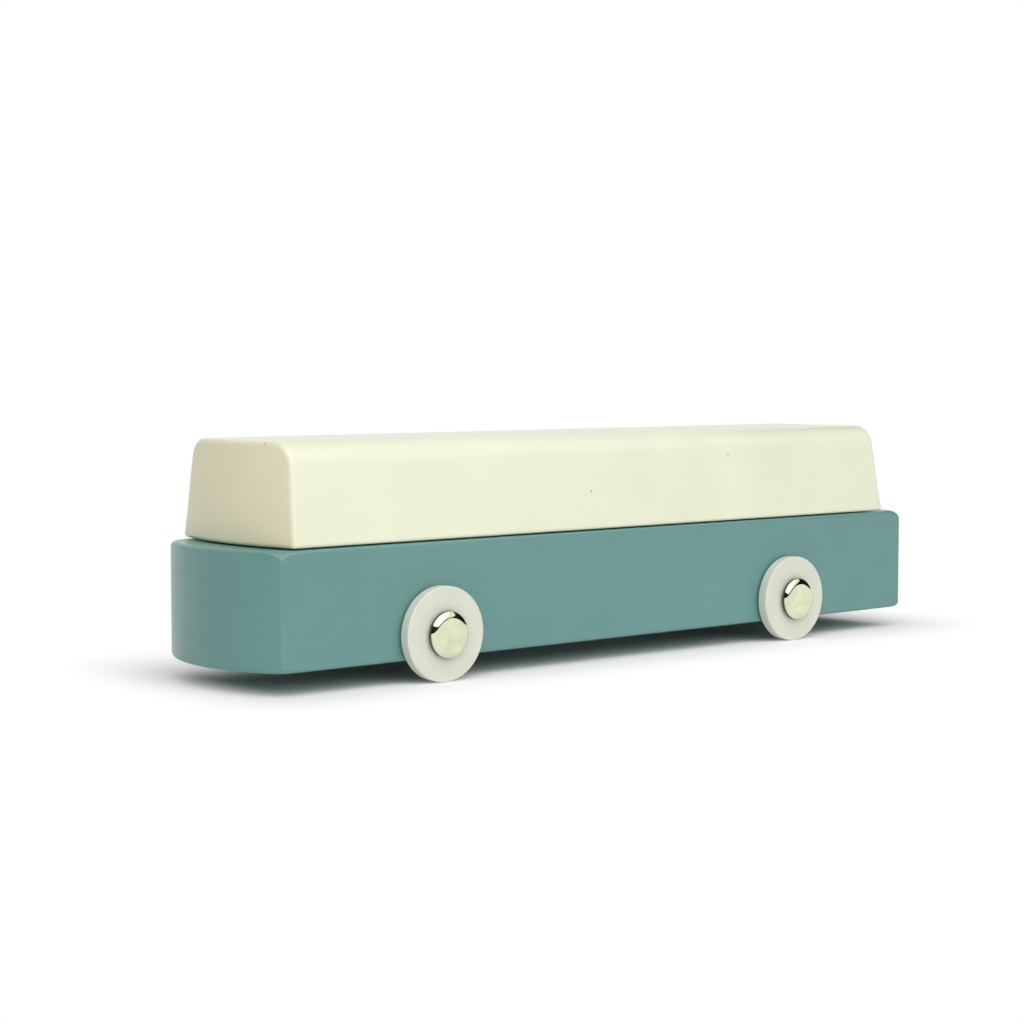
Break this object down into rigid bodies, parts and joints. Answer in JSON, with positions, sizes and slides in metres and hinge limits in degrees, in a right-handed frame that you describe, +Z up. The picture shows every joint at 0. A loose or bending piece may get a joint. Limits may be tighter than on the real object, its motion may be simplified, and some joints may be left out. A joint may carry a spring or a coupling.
{
  "type": "toy bus",
  "caption": "Solid-wood toy bus: a cream cabin block with leaning sides glued on a teal lower block with a bowed front, rolling on thin off-white wheels closed by nickel axle caps.",
  "frame": {"origin": "on the ground under the middle of the bus", "axes": "+X runs from the bowed front to the flat tail, +Y to the bus's right-hand side, +Z up"},
  "size_m": [0.196, 0.0518, 0.0511],
  "materials": {
    "teal_paint": "satin paint on beech",
    "cream_paint": "satin paint on beech",
    "beech": "bare turned wood",
    "wheel_plastic": "satin, moulded",
    "cap_nickel": "polished nickel plate",
    "axle_steel": "drawn",
    "spring_steel": "rolled and hardened"
  },
  "bodies": {
    "bus_body": {"lower_block": "teal_paint", "cabin_block": "cream_paint", "dowel_front": "beech", "dowel_rear": "beech"},
    "front_axle": {"axle_front": "axle_steel", "cap_front_left": "cap_nickel", "cap_front_right": "cap_nickel", "grip_ring_front_left": "spring_steel", "grip_ring_front_right": "spring_steel"},
    "rear_axle": {"axle_rear": "axle_steel", "cap_rear_left": "cap_nickel", "cap_rear_right": "cap_nickel", "grip_ring_rear_left": "spring_steel", "grip_ring_rear_right": "spring_steel"},
    "front_left_wheel": {"wheel_front_left": "wheel_plastic"},
    "front_right_wheel": {"wheel_front_right": "wheel_plastic"},
    "rear_left_wheel": {"wheel_rear_left": "wheel_plastic"},
    "rear_right_wheel": {"wheel_rear_right": "wheel_plastic"}
  },
  "joints": [
    {"name": "front_axle_turn", "type": "hinge", "parent": "bus_body", "child": "front_axle", "pos_m": [-0.0523, 0, 0.01015], "axis": [0, 1, 0], "continuous": true},
    {"name": "rear_axle_turn", "type": "hinge", "parent": "bus_body", "child": "rear_axle", "pos_m": [0.0554, 0, 0.01015], "axis": [0, 1, 0], "continuous": true},
    {"name": "front_left_wheel_roll", "type": "hinge", "parent": "front_axle", "child": "front_left_wheel", "pos_m": [-0.0523, -0.02255, 0.01015], "axis": [0, 1, 0], "continuous": true},
    {"name": "front_right_wheel_roll", "type": "hinge", "parent": "front_axle", "child": "front_right_wheel", "pos_m": [-0.0523, 0.02255, 0.01015], "axis": [0, 1, 0], "continuous": true},
    {"name": "rear_left_wheel_roll", "type": "hinge", "parent": "rear_axle", "child": "rear_left_wheel", "pos_m": [0.0554, -0.02255, 0.01015], "axis": [0, 1, 0], "continuous": true},
    {"name": "rear_right_wheel_roll", "type": "hinge", "parent": "rear_axle", "child": "rear_right_wheel", "pos_m": [0.0554, 0.02255, 0.01015], "axis": [0, 1, 0], "continuous": true}
  ]
}
